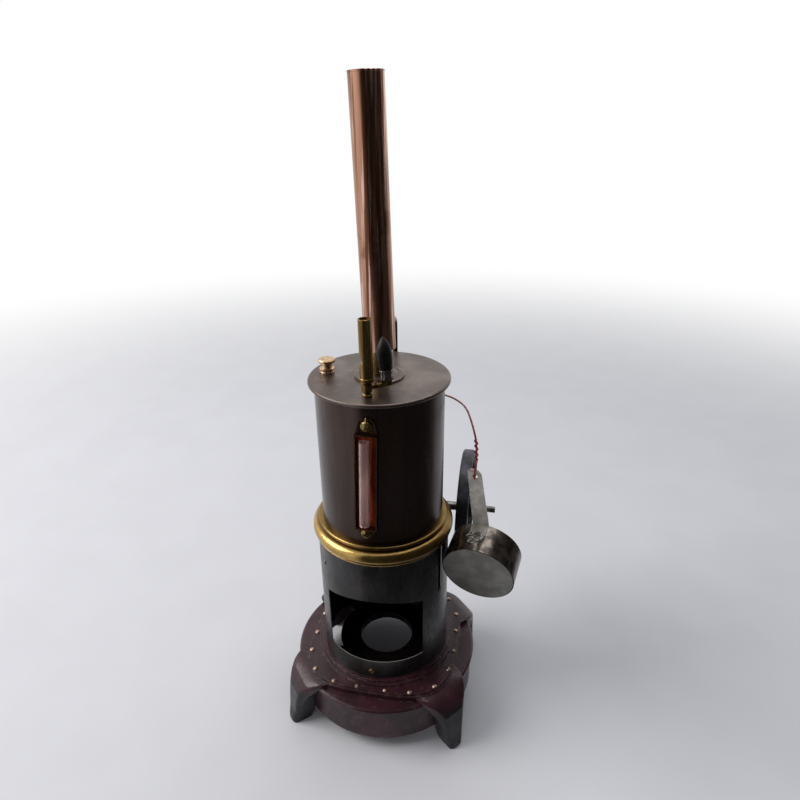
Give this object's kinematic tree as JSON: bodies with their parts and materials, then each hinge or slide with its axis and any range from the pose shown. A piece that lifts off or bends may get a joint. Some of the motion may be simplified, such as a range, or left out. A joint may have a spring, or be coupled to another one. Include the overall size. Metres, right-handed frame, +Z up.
{
  "type": "toy vertical steam engine",
  "caption": "Toy stationary steam engine: round upright boiler on a footed cast base, tall copper chimney, side flywheel and a spirit burner hung on a wire.",
  "frame": {"origin": "on the surface it stands on, under the boiler's axis, at the mount stand", "axes": "+Z up along the boiler, -Y towards the stoke opening and the water gauge, +X towards the flywheel and the hanging burner"},
  "size_m": [0.1584, 0.1648, 0.4138],
  "materials": {
    "maroon_cast_iron": "worn maroon enamel on cast iron",
    "dark_cast_iron": "dark worn enamel on cast iron",
    "firebox_sheet": "blued sheet, stained and worn",
    "boiler_metal": "brown patina, satin",
    "ring_brass": "polished brass with dark tarnish",
    "plate_metal": "brown patina, satin",
    "chimney_copper": "copper, streaked",
    "tarnished_brass": "tarnished brass",
    "bright_brass": "bright brass",
    "whistle_brass": "brass, brown patina",
    "nickel": "worn nickel",
    "black_wood": "black stained wood, satin",
    "gauge_copper": "copper, brown patina",
    "gauge_glass": "clear glass",
    "engine_iron": "dark grey iron",
    "steel": "dull steel",
    "wheel_iron": "black enamel, worn at the rim",
    "pipe_copper": "brown copper",
    "tinplate": "dull tinplate with solder stains",
    "handle_tin": "dull grey strip",
    "red_wire": "red plastic coated wire"
  },
  "bodies": {
    "root": {"base_casting": "maroon_cast_iron", "foot_front_right": "dark_cast_iron", "foot_rear_right": "dark_cast_iron", "foot_rear_left": "dark_cast_iron", "foot_front_left": "dark_cast_iron", "firebox_shell": "firebox_sheet", "boiler_bottom": "boiler_metal", "boiler_shell": "boiler_metal", "brass_ring": "ring_brass", "top_plate": "plate_metal", "flue_tube": "chimney_copper", "chimney_flange": "tarnished_brass", "chimney_collar": "tarnished_brass", "chimney_tube": "chimney_copper", "filler_seat": "bright_brass", "filler_cap": "bright_brass", "whistle_stem": "whistle_brass", "whistle_tube": "whistle_brass", "gauge_channel": "gauge_copper", "gauge_glass": "gauge_glass", "gauge_top_fitting": "tarnished_brass", "gauge_bottom_fitting": "tarnished_brass", "engine_plate": "engine_iron", "port_block": "tarnished_brass", "engine_cylinder": "tarnished_brass", "piston_rod": "steel", "bearing_tube": "tarnished_brass", "shaft_bracket": "engine_iron", "steam_pipe": "pipe_copper", "exhaust_pipe": "pipe_copper", "burner_tin": "tinplate", "burner_wick_tube": "tinplate", "burner_handle": "handle_tin", "hanging_wire": "red_wire"},
    "flywheel": {"flywheel": "wheel_iron", "crankshaft": "steel", "crank_disc": "steel"},
    "whistle_cock": {"whistle_arm": "whistle_brass", "valve_ferrule": "nickel", "valve_handle": "black_wood"}
  },
  "joints": [
    {"name": "flywheel_spin", "type": "hinge", "parent": "root", "child": "flywheel", "pos_m": [0, 0.056, 0.122], "axis": [1, 0, 0], "continuous": true},
    {"name": "whistle_cock_turn", "type": "hinge", "parent": "root", "child": "whistle_cock", "pos_m": [0, -0.0315, 0.2552], "axis": [0.7986, 0.6018, 0], "range_deg": [0, 70]}
  ]
}
